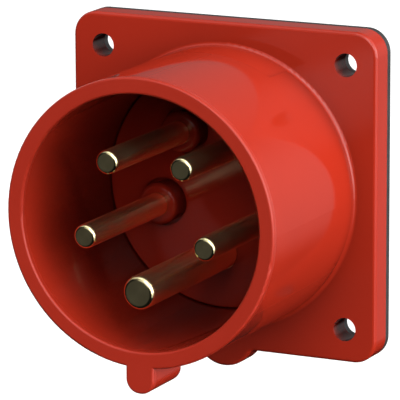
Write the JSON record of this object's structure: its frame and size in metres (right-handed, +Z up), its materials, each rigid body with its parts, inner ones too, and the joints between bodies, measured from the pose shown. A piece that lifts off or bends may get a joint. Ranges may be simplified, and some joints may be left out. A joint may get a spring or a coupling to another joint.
{
  "type": "pin and sleeve inlet",
  "caption": "Panel-mounted pin and sleeve power inlet: red moulded flange and round shroud with key and catch, brass pins, and screw terminals behind the panel.",
  "frame": {"origin": "centre of the flange's screw pattern in the panel's front face, which is the gasket's rear face", "axes": "+Y into the panel along the inlet's axis, so the well opens towards -Y; +Z up, with the earth pin and the key at the bottom"},
  "size_m": [0.07, 0.0703, 0.074],
  "materials": {
    "red_plastic": "gloss",
    "black_rubber": "matte",
    "grey_plastic": "matte",
    "contact_brass": "polished",
    "zinc_steel": "satin"
  },
  "bodies": {
    "root": {"inlet_housing": "red_plastic", "contact_carrier": "red_plastic", "flange_gasket": "black_rubber", "carrier_seal": "black_rubber", "terminal_block": "grey_plastic", "pin_l1": "contact_brass", "pin_l2": "contact_brass", "pin_l3": "contact_brass", "pin_neutral": "contact_brass", "pin_earth": "contact_brass", "pressure_plate_l1": "zinc_steel", "pressure_plate_l2": "zinc_steel", "pressure_plate_l3": "zinc_steel", "pressure_plate_neutral": "zinc_steel", "pressure_plate_earth": "zinc_steel", "terminal_screw_l1": "zinc_steel", "terminal_screw_l2": "zinc_steel", "terminal_screw_l3": "zinc_steel", "terminal_screw_neutral": "zinc_steel", "terminal_screw_earth": "zinc_steel", "carrier_screw_1": "zinc_steel", "carrier_screw_2": "zinc_steel", "carrier_screw_3": "zinc_steel"}
  },
  "joints": []
}
